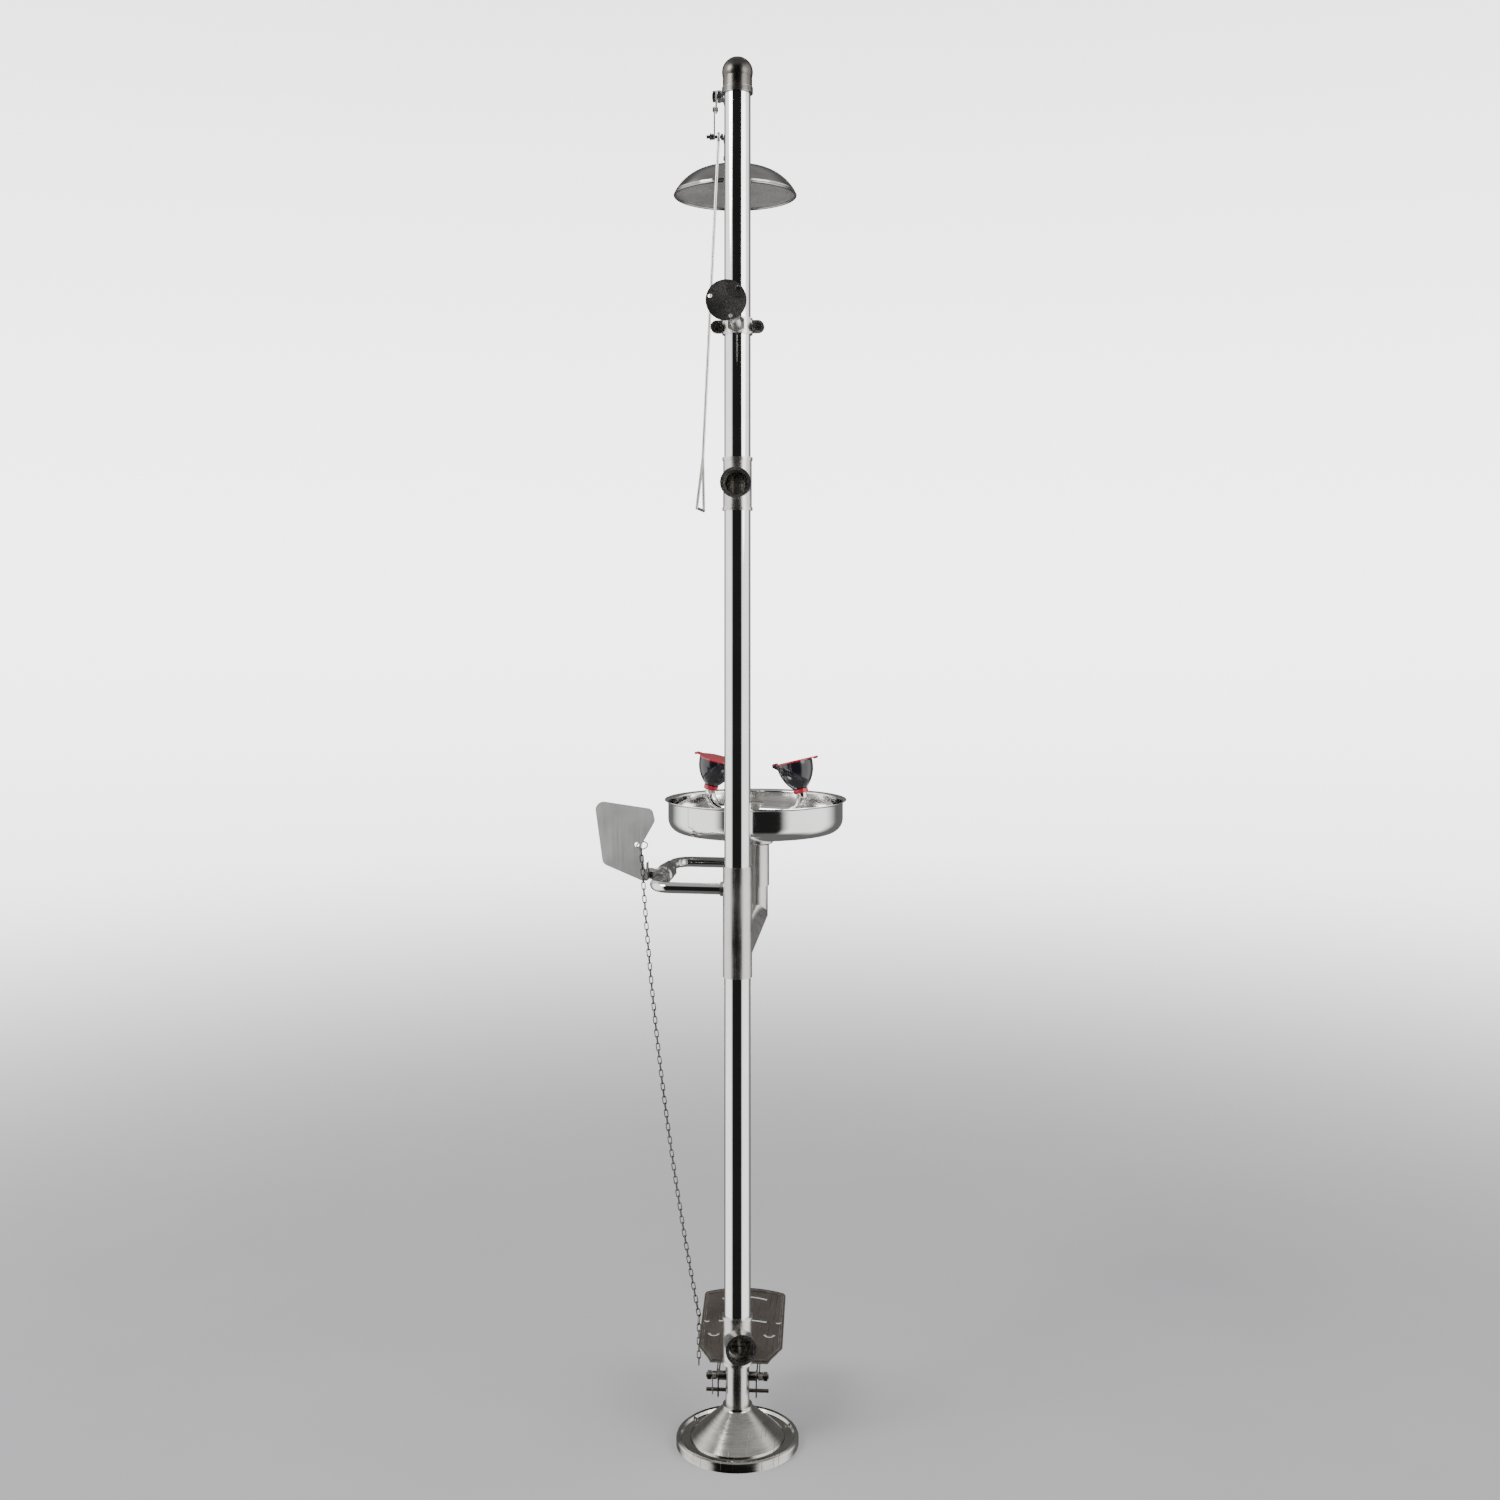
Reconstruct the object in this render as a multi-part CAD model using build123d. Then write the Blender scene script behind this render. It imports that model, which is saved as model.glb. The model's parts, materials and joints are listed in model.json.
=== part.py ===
from build123d import *
import math
import os

# A combination emergency shower: a column on a floor flange, a shower head on
# a top arm with a pull rod, an eyewash bowl with a push paddle and a foot
# treadle, and a brace to the wall.  Millimetres, +Z up.  The origin is on the
# column's axis at floor level and +Y points to the user's side.

# ---------------------------------------------------------------- pipes
pipe_od = 42.4
pipe_wall = 2.5
socket_gap = 0.1          # radial room for sealant in every socket
socket_depth = 18.0       # how far a pipe enters a fitting
thread_gap = 0.02         # radial room of a nut or a pin in its hole
face_gap = 0.05           # room between two faces that bear on each other
fitting_wall = 1.9        # fitting body outside its pipe
bead_wall = 1.4           # rim bead outside the fitting body
bead_length = 5.0

# ---------------------------------------------------------------- base
base_od = 196.0
base_land_id = 140.0
base_rim_height = 15.0
base_rim_width = 7.0
base_land_height = 10.0
base_cone_od = 150.0
base_cone_top = 57.0
base_collar_top = 62.0
base_wall = 5.5
base_collar_wall = 4.5
anchor_pcd = 172.0
anchor_count = 3
anchor_hole_d = 10.0
spool_od = 38.0
spool_wall = 3.0
spool_bottom = 34.0
disc_thickness = 4.0

# ---------------------------------------------------------------- column
drain_tee_bottom = 128.0
drain_tee_length = 76.0
drain_tee_turn = 16.5
inlet_tee_bottom = 1490.0
inlet_tee_length = 85.0
inlet_tee_turn = 4.5
branch_reach = 45.0
port_bore_d = 39.0
port_depth = 20.0
sleeve_bottom = 744.5
sleeve_top = 921.0
sleeve_wall = 2.3
sleeve_od = pipe_od + 2 * sleeve_wall
sleeve_socket_depth = 12.0
elbow_bottom = 2157.0
elbow_socket_depth = 16.0
elbow_wall = 3.8
elbow_od = pipe_od + 2 * elbow_wall
arm_z = 2191.0

# ---------------------------------------------------------------- shower arm
arm_turn = 9.5
arm_pipe_od = 33.7
arm_pipe_wall = 2.6
arm_fitting_wall = 4.0
elbow_reach = 42.0
shower_valve_y = 130.0
head_reach = 420.0
drop_elbow_reach = 30.0
drop_socket_depth = 12.0
head_od = 228.0
head_rim_z = 2092.0
head_top_z = 2144.0
head_skirt = 8.0
head_wall = 1.2
head_bead_d = 5.0
head_collar_height = 8.0
face_thickness = 1.5
face_recess = 5.3
face_hole_d = 3.0
face_rings = 7

# ---------------------------------------------------------------- valves
ball_gap = 0.3
stem_gap = 0.06
shower_valve_length = 76.0
shower_valve_bore_d = 25.0
shower_valve_flats = 41.0
shower_stem_d = 10.0
eyewash_valve_length = 60.0
eyewash_valve_bore_d = 14.0
eyewash_valve_flats = 26.0
eyewash_stem_d = 8.0
chamber_wall = 4.5

# ---------------------------------------------------------------- pull rod
lever_length = 75.0
lever_width = 14.0
lever_thickness = 3.0
link_length = 47.0
link_width = 10.0
link_thickness = 2.5
link_pin_d = 6.0
pull_bolt_d = 6.0
rod_d = 5.0
rod_length = 554.0
rod_lean = 2.8
handle_height = 88.0
handle_width = 100.0
handle_turn = 6.3

# ---------------------------------------------------------------- eyewash
bowl_od = 300.0
bowl_lip = 6.0
bowl_column_gap = 22.8
bowl_lip_od = bowl_od + 2 * bowl_lip
bowl_y = (bowl_lip_od + pipe_od) / 2 + bowl_column_gap
bowl_bottom = 950.0
bowl_rim = 1006.0
bowl_wall = 1.2
bowl_corner_r = 24.0
waste_hole_gap = 0.6
waste_hole_d = pipe_od + waste_hole_gap
bowl_nut_wall = 8.8
bowl_nut_od = pipe_od + 2 * bowl_nut_wall
bowl_nut_height = 18.0
gasket_thickness = 2.0
pedestal_bottom = 858.0
pedestal_top = 928.0
pedestal_socket_depth = 14.0
mitre_z = 810.0
drain_entry_z = 781.0
tube_od = 18.0
tube_wall = 2.0
supply_near_z = 884.0
supply_far_z = 895.0
supply_x = -139.0
supply_bend_r = 28.0
eyewash_valve_y = bowl_y / 2
union_length = 16.0
nozzle_turn = -13.0
nozzle_spread = 164.0
nozzle_tilt = 14.0
nozzle_base_z = 1026.0
manifold_z = 986.0
manifold_od = 27.0
manifold_height = 30.0
manifold_shoulder = 1.5
gooseneck_bend_r = 27.0
collar_od = 25.0
collar_height = 7.0
cup_od = 62.0
cup_base_od = 22.0
cup_height = 46.0
cup_wall = 2.2
cup_floor = 3.0
cap_thickness = 2.6
cap_gap = 0.3
cap_tab_reach = 8.0
cap_tab_width = 14.0
hinge_pin_d = 2.5
hinge_offset = 4.5

# ---------------------------------------------------------------- paddle
paddle_thickness = 1.5
paddle_setback = 14.0
paddle_hole = (-44.0, 50.0)
paddle_hole_d = 8.0

# ---------------------------------------------------------------- chain
chain_wire_d = 1.8
link_inner = 11.5
link_inner_width = 3.9
chain_link_gap = 0.2
chain_sag = 13.0
chain_tail_links = 6
top_ring_r = 9.0
top_ring_wire_d = 2.0
top_ring_slope = 55.0
hook_ring_r = 8.0
hook_gap = 3.8

# ---------------------------------------------------------------- treadle
treadle_turn = 4.5
pivot_z = 106.0
stop_z = 83.0
pivot_stud_d = 8.0
stop_stud_d = 6.0
stud_reach = 50.0
treadle_rise = 20.0
treadle_width = 138.0
treadle_length = 167.0
treadle_neck = 94.0
treadle_bow = 12.0
treadle_shoulder = 33.0
treadle_start_y = 30.0
treadle_start_z = 6.0
treadle_thickness = 2.0
treadle_bead = 1.0
leg_x = 29.5
leg_thickness = 2.0
hook_place = 92.0
spring_x = 33.0
spring_wire_d = 2.0
spring_turns = 4
spring_leg_reach = 18.0
spring_leg_gap = 0.7
pivot_gap = 0.3

# ---------------------------------------------------------------- wall brace
brace_turn = 5.0
brace_z = 1784.0
clamp_height = 26.0
clamp_wall = 3.2
clamp_ear_length = 21.8
clamp_ear_reach = pipe_od / 2 + clamp_ear_length
clamp_ear_thickness = 5.0
clamp_split = 2.0
clamp_bolt_d = 8.0
brace_rod_d = 15.5
brace_rod_shown = 80.0
thread_depth = 0.8
thread_pitch = 2.0
lock_nut_flats = 23.5
lock_nut_length = 20.0
brace_tube_od = 20.0
brace_tube_length = 98.0
brace_tube_bore_extra = 0.3
rod_in_tube = 55.0
wall_flange_d = 60.0
wall_flange_thickness = 5.0
wall_neck_length = 5.0
wall_hole_pcd = 48.7
wall_hole_d = 6.6
wall_hole_count = 3
wall_hole_start = 45.0

# ---------------------------------------------------------------- worked out
pipe_r = pipe_od / 2
pipe_bore_r = pipe_r - pipe_wall
fitting_r = pipe_r + fitting_wall
sleeve_r = sleeve_od / 2
arm_r = arm_pipe_od / 2
arm_bore_r = arm_r - arm_pipe_wall
tube_r = tube_od / 2
tube_bore_r = tube_r - tube_wall
inlet_tee_top = inlet_tee_bottom + inlet_tee_length
drain_tee_top = drain_tee_bottom + drain_tee_length
bowl_floor = bowl_bottom + bowl_wall
stem_z = supply_near_z + (supply_far_z - supply_near_z) * eyewash_valve_y / bowl_y
ROUND_BASE = (Align.CENTER, Align.CENTER, Align.MIN)
UP = Vector(0, 0, 1)
DOWN = Vector(0, 0, -1)
RIGHT = Vector(1, 0, 0)
LEFT = Vector(-1, 0, 0)
FORWARD = Vector(0, 1, 0)
BACK = Vector(0, -1, 0)
BORE_EXTRA = 1.0          # how far a cutting tool runs past the face it cuts


def save(name, shape):
    export_step(shape, f"parts/{name}.step")


def group(solids):
    return Compound(children=list(solids))


def bar(radius, length, start=(0, 0, 0), along=UP):
    return Plane(origin=start, z_dir=along) * Cylinder(radius, length, align=ROUND_BASE)


def through(radius, length, start, along):
    # A cutting cylinder that runs past both ends of the stretch it cuts.
    direction = Vector(*along).normalized()
    first = Vector(*start) - direction * BORE_EXTRA
    return bar(radius, length + 2 * BORE_EXTRA, first, direction)


def tube(outer_r, inner_r, length, start=(0, 0, 0), along=UP):
    return bar(outer_r, length, start, along) - through(inner_r, length, start, along)


def cone(radius_a, radius_b, length, start, along):
    return Plane(origin=start, z_dir=along) * Cone(radius_a, radius_b, length, align=ROUND_BASE)


def hexagon(flats, length, start, along):
    outline = RegularPolygon(flats / 2, 6, major_radius=False)
    return Plane(origin=start, z_dir=along) * extrude(outline, length)


def ring(major_r, wire_r, centre, normal):
    return Plane(origin=centre, z_dir=normal) * Torus(major_r, wire_r)


def spun(points):
    # A solid of revolution about Z from points (radius, height).
    return revolve(Plane.XZ * make_face(Polyline(*points, close=True)), Axis.Z)


def bent_wire(points, radius):
    solid = Pos(*points[0]) * Sphere(radius)
    for start, end in zip(points, points[1:]):
        run = Vector(*end) - Vector(*start)
        solid += bar(radius, run.length, start, run.normalized())
        solid += Pos(*end) * Sphere(radius)
    return solid


def pipe_along(points, bend_r, outer_r, inner_r):
    path = FilletPolyline(*points, radius=bend_r)
    start = Plane(origin=path @ 0, z_dir=path % 0)
    return sweep(start * Circle(outer_r), path=path) - sweep(start * Circle(inner_r), path=path)


def bead(radius, start, along):
    return bar(radius + bead_wall, bead_length, start, along)


# ---------------------------------------------------------------- base and column
def base_flange():
    rim = base_od / 2
    groove_r = rim - base_rim_width
    cone_r = base_cone_od / 2
    collar_r = spool_od / 2 + socket_gap + base_collar_wall
    land_r = base_land_id / 2
    inner_top = collar_r + 1.0
    outline = [
        (land_r, 0),
        (rim, 0),
        (rim, base_rim_height - 5.0),
        (rim - 1.2, base_rim_height - 1.8),
        (rim - 3.5, base_rim_height),
        (groove_r, base_rim_height - 1.5),
        (groove_r - 2.5, base_land_height),
        (cone_r + 1.5, base_land_height),
        (cone_r, base_land_height + 3.0),
        (collar_r + 0.8, base_cone_top),
        (collar_r, base_cone_top + 1.0),
        (collar_r, base_collar_top),
        (spool_od / 2 + socket_gap, base_collar_top),
        (spool_od / 2 + socket_gap, spool_bottom),
        (spool_od / 2 - spool_wall, spool_bottom),
        (spool_od / 2 - spool_wall, spool_bottom - base_wall),
        (inner_top, spool_bottom - base_wall),
        (inner_top, base_cone_top - 3 * base_wall),
        (land_r, base_land_height - base_wall + 2.0),
    ]
    body = spun(outline)
    for hole in range(anchor_count):
        angle = 90 + (hole + 0.5) * 360 / anchor_count
        place = Rot(0, 0, angle) * Pos(anchor_pcd / 2, 0, 0)
        body -= place * through(anchor_hole_d / 2, base_rim_height, (0, 0, 0), UP)
    return body


def tee(bottom, length, lower_r, lower_bore_r, turn):
    # A screwed tee on the column whose branch points back, then is turned.
    middle = bottom + length / 2
    upper_entry = bottom + length - socket_depth
    body = bar(fitting_r, length, (0, 0, bottom))
    body += bead(fitting_r, (0, 0, bottom), UP)
    body += bead(fitting_r, (0, 0, bottom + length - bead_length), UP)
    body += bar(fitting_r, branch_reach, (0, 0, middle), BACK)
    body += bead(fitting_r, (0, -branch_reach, middle), FORWARD)
    body -= through(lower_r + socket_gap, socket_depth, (0, 0, bottom), UP)
    body -= bar(lower_bore_r, length / 2 - socket_depth + BORE_EXTRA, (0, 0, bottom + socket_depth))
    body -= bar(pipe_bore_r, length / 2, (0, 0, middle))
    body -= through(pipe_r + socket_gap, socket_depth, (0, 0, upper_entry), UP)
    body -= bar(pipe_bore_r - 1.0, branch_reach, (0, 0, middle), BACK)
    body -= bar(port_bore_d / 2, port_depth + BORE_EXTRA, (0, -branch_reach - BORE_EXTRA, middle), FORWARD)
    return Rot(0, 0, turn) * body


def column_pipe(bottom, top):
    return tube(pipe_r, pipe_bore_r, top - bottom, (0, 0, bottom))


def blanking_discs():
    spool_top = drain_tee_bottom + socket_depth
    spool_disc = bar(spool_od / 2 - spool_wall - face_gap, disc_thickness, (0, 0, spool_top - disc_thickness))
    partition_z = (drain_entry_z + supply_near_z) / 2
    sleeve_disc = bar(pipe_bore_r - face_gap, disc_thickness, (0, 0, partition_z))
    return group([spool_disc, sleeve_disc])


def drain_axis():
    corner = Vector(0, bowl_y, mitre_z)
    entry = Vector(0, 0, drain_entry_z)
    return corner, entry


def port_sleeve():
    corner, entry = drain_axis()
    height = sleeve_top - sleeve_bottom
    boss_reach = sleeve_r + 4.0
    body = bar(sleeve_r, height, (0, 0, sleeve_bottom))
    body += bar(tube_r + 2.5, boss_reach, (0, 0, supply_near_z), LEFT)
    body -= through(pipe_bore_r, height, (0, 0, sleeve_bottom), UP)
    body -= through(pipe_r + socket_gap, sleeve_socket_depth, (0, 0, sleeve_bottom), UP)
    upper = sleeve_top - sleeve_socket_depth
    body -= bar(pipe_r + socket_gap, sleeve_socket_depth + BORE_EXTRA, (0, 0, upper))
    body -= bar(pipe_bore_r, bowl_y / 2, entry, (corner - entry).normalized())
    body -= bar(tube_r + socket_gap, boss_reach + BORE_EXTRA, (0, 0, supply_near_z), LEFT)
    return body


def drain_pipes():
    corner, entry = drain_axis()
    to_column = (entry - corner).normalized()
    mitre = Plane(origin=corner, z_dir=(UP - to_column).normalized())
    overrun = pipe_od
    riser_top = pedestal_bottom + pedestal_socket_depth
    riser_start = corner - UP * overrun
    riser = tube(pipe_r, pipe_bore_r, riser_top - riser_start.Z, riser_start, UP)
    riser = split(riser, bisect_by=mitre.offset(socket_gap / 2), keep=Keep.TOP)
    start = corner - to_column * overrun
    pipe = tube(pipe_r, pipe_bore_r, (entry - start).length, start, to_column)
    pipe = split(pipe, bisect_by=mitre.offset(-socket_gap / 2), keep=Keep.BOTTOM)
    pipe -= bar(sleeve_r + socket_gap, 4 * pipe_od, (0, 0, drain_entry_z - 2 * pipe_od))
    return riser, pipe


# ---------------------------------------------------------------- shower arm, in the arm's own frame
def top_elbow():
    body = bar(fitting_r + 0.6, arm_z - elbow_bottom, (0, 0, elbow_bottom))
    body += bar(elbow_od / 2, 9.0, (0, 0, elbow_bottom))
    body += Pos(0, 0, arm_z) * Sphere(elbow_od / 2)
    body += bar(arm_r + arm_fitting_wall + 0.8, elbow_reach, (0, 0, arm_z), FORWARD)
    body += bar(arm_r + arm_fitting_wall + 2.4, bead_length, (0, elbow_reach, arm_z), BACK)
    body -= bar(pipe_bore_r - 2.0, arm_z - elbow_bottom, (0, 0, elbow_bottom))
    body -= through(pipe_r + socket_gap, elbow_socket_depth, (0, 0, elbow_bottom), UP)
    body -= bar(arm_bore_r, elbow_reach, (0, 0, arm_z), FORWARD)
    body -= bar(arm_r + socket_gap, socket_depth, (0, elbow_reach + BORE_EXTRA, arm_z), BACK)
    return body


def arm_nipples():
    near = elbow_reach - socket_depth + 1.0
    far = shower_valve_y - shower_valve_length / 2 + valve_socket(shower_valve_length) - 0.5
    first = tube(arm_r, arm_bore_r, far - near, (0, near, arm_z), FORWARD)
    top = arm_z - drop_elbow_reach + drop_socket_depth - 0.5
    bottom = head_top_z - 4.0
    second = tube(arm_r, arm_bore_r, top - bottom, (0, head_reach, bottom))
    return [first, second]


def shower_arm():
    near = shower_valve_y + shower_valve_length / 2 - valve_socket(shower_valve_length) + 0.5
    far = head_reach - drop_elbow_reach + drop_socket_depth - 0.5
    return tube(arm_r, arm_bore_r, far - near, (0, near, arm_z), FORWARD)


def arm_elbow():
    body_r = arm_r + arm_fitting_wall
    centre = Vector(0, head_reach, arm_z)
    body = Pos(*centre) * Sphere(body_r)
    for direction in (BACK, DOWN):
        body += bar(body_r, drop_elbow_reach, centre, direction)
        body += bar(body_r + bead_wall, bead_length, centre + direction * drop_elbow_reach, -direction)
    for direction in (BACK, DOWN):
        mouth = centre + direction * (drop_elbow_reach + BORE_EXTRA)
        body -= bar(arm_bore_r, drop_elbow_reach, centre, direction)
        body -= bar(arm_r + socket_gap, drop_socket_depth + BORE_EXTRA, mouth, -direction)
    return body


def dome_skin(offset):
    rim = head_od / 2 - head_bead_d / 2 - offset
    top = head_top_z - offset
    shoulder = head_rim_z + head_skirt
    collar = arm_r + 3.0
    bulge = ((rim + collar) / 2 + 16.0, (top + shoulder) / 2 + 9.0)
    return [
        Line((rim, head_rim_z + head_bead_d / 2), (rim, shoulder)),
        ThreePointArc((rim, shoulder), bulge, (collar, top)),
    ]


def shower_dome():
    outer = dome_skin(0)
    inner = dome_skin(head_wall)
    ends = [Line(outer[0] @ 0, inner[0] @ 0), Line(outer[1] @ 1, inner[1] @ 1)]
    skin = revolve(Plane.XZ * make_face(outer + inner + ends), Axis.Z)
    collar = tube(arm_r + 4.5, arm_r + socket_gap, head_collar_height + 6.0, (0, 0, head_top_z - 6.0))
    bead_r = head_od / 2 - head_bead_d / 2
    rim = ring(bead_r, head_bead_d / 2, (0, 0, head_rim_z + head_bead_d / 2), UP)
    return Pos(0, head_reach, 0) * (skin + collar + rim)


def shower_face():
    inner_r = head_od / 2 - head_bead_d / 2 - head_wall - socket_gap
    ring_step = (inner_r - 14.0) / face_rings
    plate = bar(inner_r, face_thickness, (0, 0, head_rim_z + face_recess))
    holes = [Pos(0, 0, head_rim_z + face_recess) * bar(face_hole_d / 2, face_thickness)]
    for row in range(1, face_rings + 1):
        for place in PolarLocations(row * ring_step, 6 * row):
            holes.append(Pos(0, 0, head_rim_z) * place * bar(face_hole_d / 2, 3 * head_bead_d))
    return Pos(0, head_reach, 0) * (plate - holes)


# ---------------------------------------------------------------- ball valves, pipe along Y, stem towards -X
def valve_socket(length):
    return length * 0.18


class BallValve:
    def __init__(self, length, bore_d, flats, pipe_radius, stem_d, stem_reach):
        self.length = length
        self.bore_r = bore_d / 2
        self.flats = flats
        self.pipe_r = pipe_radius
        self.stem_r = stem_d / 2
        self.reach = stem_reach
        self.ball_r = self.bore_r * 1.4
        self.chamber_r = self.ball_r + 1.0
        self.chamber_half = self.ball_r + 1.4
        self.body_r = self.chamber_r + chamber_wall
        self.boss_reach = self.body_r + 3.5
        self.nut_reach = self.boss_reach + 6.0
        self.half = length / 2
        self.tongue = (self.stem_r * 1.1, self.stem_r * 1.6, self.stem_r * 0.9)

    def body(self):
        shoulder = self.chamber_half + 2.0
        end = self.half - valve_socket(self.length) - 1.0
        neck_r = self.flats / 2 * 0.93
        body = bar(self.body_r, 2 * shoulder, (0, -shoulder, 0), FORWARD)
        for side in (FORWARD, BACK):
            body += cone(self.body_r, neck_r, max(end - shoulder, 1.0), side * shoulder, side)
            body += hexagon(self.flats, self.half - end, side * end, side)
        body += bar(self.stem_r + 4.5, self.boss_reach, (0, 0, 0), LEFT)
        body -= bar(self.chamber_r, 2 * self.chamber_half, (0, -self.chamber_half, 0), FORWARD)
        body -= through(self.bore_r, self.length, (0, -self.half, 0), FORWARD)
        body -= bar(self.stem_r + stem_gap, self.boss_reach + BORE_EXTRA, (0, 0, 0), LEFT)
        for side in (FORWARD, BACK):
            mouth = side * (self.half + BORE_EXTRA)
            body -= bar(self.pipe_r + socket_gap, valve_socket(self.length) + BORE_EXTRA, mouth, -side)
        return body

    def seats(self):
        seats = []
        for side in (FORWARD, BACK):
            inner = self.chamber_half * 0.6
            seat = bar(self.chamber_r - face_gap, self.chamber_half - inner - face_gap, side * inner, side)
            seat -= through(self.bore_r, self.chamber_half, (0, 0, 0), side)
            seats.append(seat - Sphere(self.ball_r + ball_gap))
        return seats

    def ball(self):
        slot = Box(self.tongue[0] + 0.3, self.tongue[1] + 0.3, 2 * self.tongue[2])
        ball = Sphere(self.ball_r) - through(self.bore_r, 2 * self.ball_r, (0, -self.ball_r, 0), FORWARD)
        return ball - Pos(-self.ball_r, 0, 0) * Rot(0, 90, 0) * slot

    def stem(self):
        shoulder = self.ball_r + 0.4
        tongue = Box(self.tongue[0], self.tongue[1], 2 * self.tongue[2] - 0.4)
        stem = bar(self.stem_r, self.reach - shoulder, (-shoulder, 0, 0), LEFT)
        return stem + Pos(-self.ball_r, 0, 0) * Rot(0, 90, 0) * tongue

    def packing_nut(self):
        start = (-self.boss_reach - face_gap, 0, 0)
        length = self.nut_reach - self.boss_reach
        nut = hexagon(2 * self.stem_r + 9.0, length, start, LEFT)
        return nut - through(self.stem_r + stem_gap, length, start, LEFT)


def shower_valve():
    lever_start = shower_lever_x()
    reach = lever_start + lever_thickness + 5.5
    return BallValve(shower_valve_length, shower_valve_bore_d, shower_valve_flats, arm_r, shower_stem_d, reach)


def shower_lever_x():
    # Distance from the pipe axis to the lever's inner face.
    return shower_valve_bore_d / 2 * 1.4 + 1.0 + chamber_wall + 3.5 + 6.0 + 0.5


def eyewash_valve():
    return BallValve(eyewash_valve_length, eyewash_valve_bore_d, eyewash_valve_flats, tube_r, eyewash_stem_d,
                     paddle_tab_x() + paddle_thickness + 5.5)


def paddle_tab_x():
    return eyewash_valve_bore_d / 2 * 1.4 + 1.0 + chamber_wall + 3.5 + 6.0 + 2.0


def lever_nut(stem_d, start):
    nut = hexagon(1.7 * stem_d, 4.5, start, LEFT)
    return nut - through(stem_d / 2 + thread_gap, 4.5, start, LEFT)


# ---------------------------------------------------------------- pull lever and rod
def shower_lever():
    x = -shower_lever_x()
    y = shower_valve_y
    end = y + lever_length
    hub_r = lever_width / 2 + 3.0
    plate = bar(hub_r, lever_thickness, (x, y, arm_z), LEFT)
    plate += bar(lever_width / 2, lever_thickness, (x, end, arm_z), LEFT)
    middle = (x - lever_thickness / 2, y + lever_length / 2, arm_z)
    plate += Pos(*middle) * Box(lever_thickness, lever_length, lever_width)
    plate -= through(shower_stem_d / 2 + thread_gap, lever_thickness, (x, y, arm_z), LEFT)
    return plate - through(link_pin_d / 2 + stem_gap, lever_thickness, (x, end, arm_z), LEFT)


def link_places():
    x = -shower_lever_x() - lever_thickness - 0.5
    top = Vector(x, shower_valve_y + lever_length, arm_z)
    return top, top - UP * link_length


def pull_link():
    top, bottom = link_places()
    strap = bar(link_width / 2, link_thickness, top, LEFT) + bar(link_width / 2, link_thickness, bottom, LEFT)
    middle = (top + bottom) * 0.5 + LEFT * (link_thickness / 2)
    strap += Pos(*middle) * Box(link_thickness, link_width * 0.7, link_length)
    strap -= through(link_pin_d / 2 + thread_gap, link_thickness, top, LEFT)
    return strap - through(pull_bolt_d / 2 + thread_gap, link_thickness, bottom, LEFT)


def pull_fasteners():
    top, bottom = link_places()
    inner = top + RIGHT * (lever_thickness + 0.9)
    pin = bar(link_pin_d / 2, link_thickness + lever_thickness + 3.4, inner + RIGHT * 0.5, LEFT)
    pin += bar(link_pin_d / 2 + 1.6, 1.5, inner + RIGHT * 1.5, LEFT)
    pin += bar(link_pin_d / 2 + 1.6, 1.5, top + LEFT * (link_thickness + 0.1), LEFT)
    head = bottom + RIGHT * (2 * rod_d)
    bolt = bar(pull_bolt_d / 2, 2 * rod_d + 15.0, head, LEFT)
    bolt += hexagon(1.7 * pull_bolt_d, 4.0, head, RIGHT)
    nut_start = bottom + LEFT * (link_thickness + 0.1)
    nut = cone(pull_bolt_d * 0.9, pull_bolt_d * 0.75, 7.0, nut_start, LEFT)
    for side in (-1, 1):
        wing = Box(2.0, 8.0, 7.0)
        nut += Pos(nut_start.X - 5.0, nut_start.Y + side * 7.0, nut_start.Z) * wing
    nut -= through(pull_bolt_d / 2 + thread_gap, 7.0, nut_start, LEFT)
    return group([pin, bolt, nut])


def rod_points():
    link_top, link_bottom = link_places()
    eye = link_bottom + RIGHT * (rod_d + 1.0)
    lean = math.radians(rod_lean)
    split_point = eye + Vector(-math.sin(lean), 0, -math.cos(lean)) * rod_length
    return eye, split_point


def pull_rod():
    eye, fork = rod_points()
    eye_r = pull_bolt_d / 2 + rod_d / 2 + 0.4
    lean = math.radians(rod_lean)
    start = eye + Vector(-math.sin(lean), 0, -math.cos(lean)) * eye_r
    rod = ring(eye_r, rod_d / 2, eye, RIGHT) + bent_wire([start, fork], rod_d / 2)
    turn = math.radians(handle_turn)
    spread = Vector(math.sin(turn), math.cos(turn), 0) * (handle_width / 2)
    low = fork - UP * handle_height + Vector(-math.sin(lean), 0, 0) * handle_height
    corners = [low - spread, low + spread]
    return rod + bent_wire([fork, corners[0], corners[1], fork], rod_d / 2)


# ---------------------------------------------------------------- eyewash pedestal and bowl
def pedestal_sleeve():
    height = pedestal_top - pedestal_bottom
    seat = bowl_bottom - gasket_thickness - bowl_nut_height - pedestal_socket_depth
    body = bar(sleeve_r, height, (0, bowl_y, pedestal_bottom))
    body += bar(tube_r + 2.5, sleeve_r + 3.0, (0, bowl_y, supply_far_z), LEFT)
    body -= through(pipe_bore_r, height, (0, bowl_y, pedestal_bottom), UP)
    body -= through(pipe_r + socket_gap, pedestal_socket_depth, (0, bowl_y, pedestal_bottom), UP)
    body -= bar(pipe_r + socket_gap, height, (0, bowl_y, seat))
    return body - bar(tube_r + socket_gap, sleeve_r + 4.0, (0, bowl_y, supply_far_z), LEFT)


def bowl_tailpiece():
    bottom = bowl_bottom - gasket_thickness - bowl_nut_height - pedestal_socket_depth
    height = bowl_floor - bottom
    tail = tube(pipe_r, pipe_bore_r, height + 2.0, (0, bowl_y, bottom))
    return tail + tube(waste_hole_d / 2 + 6.0, pipe_bore_r, 2.0, (0, bowl_y, bowl_floor + thread_gap))


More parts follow.
